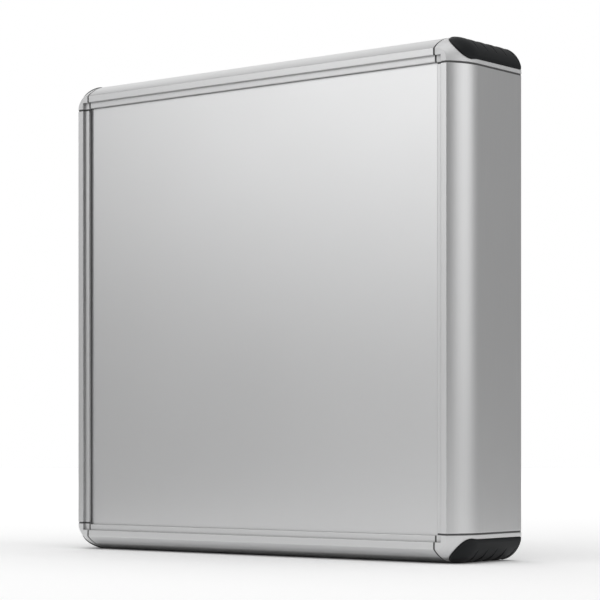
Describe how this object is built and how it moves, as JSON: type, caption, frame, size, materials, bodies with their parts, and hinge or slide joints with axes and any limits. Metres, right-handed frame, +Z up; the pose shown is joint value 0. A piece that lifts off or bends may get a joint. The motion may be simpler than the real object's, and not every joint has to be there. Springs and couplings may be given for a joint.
{
  "type": "console enclosure",
  "caption": "Shallow aluminium console enclosure: extruded frame with curved cheeks, cast rounded corners with ribbed black caps, plain front plate, hinged rear door with quarter-turn latches.",
  "frame": {"origin": "middle of the flat base face the enclosure stands on, halfway between the front rim and the rear edge", "axes": "+X to the right seen from the front, +Y towards the rear door, +Z up; the front plate faces -Y"},
  "size_m": [0.408, 0.1015, 0.4],
  "materials": {
    "anodised_profile": "satin anodised, fine lengthwise grain",
    "cast_corner": "silver powder coat on a casting",
    "cap_plastic": "fine grained black moulding",
    "front_sheet": "fine blasted, anodised",
    "seal_rubber": "matte",
    "steel_clamp": "zinc plated sheet",
    "steel_screw": "zinc plated",
    "door_sheet": "fine brushed, anodised",
    "hinge_casting": "black coat on zinc",
    "latch_casting": "black coat on zinc",
    "latch_plastic": "fine grained black moulding"
  },
  "bodies": {
    "frame": {"profile_left": "anodised_profile", "profile_right": "anodised_profile", "profile_top": "anodised_profile", "profile_bottom": "anodised_profile", "corner_top_left": "cast_corner", "corner_top_right": "cast_corner", "corner_bottom_left": "cast_corner", "corner_bottom_right": "cast_corner", "cap_top_left": "cap_plastic", "cap_top_right": "cap_plastic", "cap_bottom_left": "cap_plastic", "cap_bottom_right": "cap_plastic", "corner_screws": "steel_screw", "front_plate": "front_sheet", "front_seal_ring": "seal_rubber", "plate_clamps": "steel_clamp", "clamp_screws": "steel_screw", "frame_leaf_upper": "hinge_casting", "frame_leaf_lower": "hinge_casting", "hinge_pins": "steel_screw", "frame_leaf_screws": "steel_screw"},
    "door": {"rear_door": "door_sheet", "door_seal": "seal_rubber", "door_leaf_upper": "hinge_casting", "door_leaf_lower": "hinge_casting", "door_leaf_screws": "steel_screw", "latch_barrel_upper": "latch_casting", "latch_barrel_lower": "latch_casting", "latch_nut_upper": "steel_screw", "latch_nut_lower": "steel_screw"},
    "latch_upper": {"latch_knob_upper": "latch_plastic", "latch_cam_upper": "steel_clamp", "cam_screw_upper": "steel_screw"},
    "latch_lower": {"latch_knob_lower": "latch_plastic", "latch_cam_lower": "steel_clamp", "cam_screw_lower": "steel_screw"}
  },
  "joints": [
    {"name": "door_hinge", "type": "hinge", "parent": "frame", "child": "door", "pos_m": [-0.1915, 0.0485, 0.2], "axis": [0, 0, 1], "range_deg": [0, 120]},
    {"name": "latch_upper_turn", "type": "hinge", "parent": "door", "child": "latch_upper", "pos_m": [0.168, 0.042, 0.3], "axis": [0, -1, 0], "range_deg": [0, 90]},
    {"name": "latch_lower_turn", "type": "hinge", "parent": "door", "child": "latch_lower", "pos_m": [0.168, 0.042, 0.1], "axis": [0, -1, 0], "range_deg": [0, 90]}
  ]
}
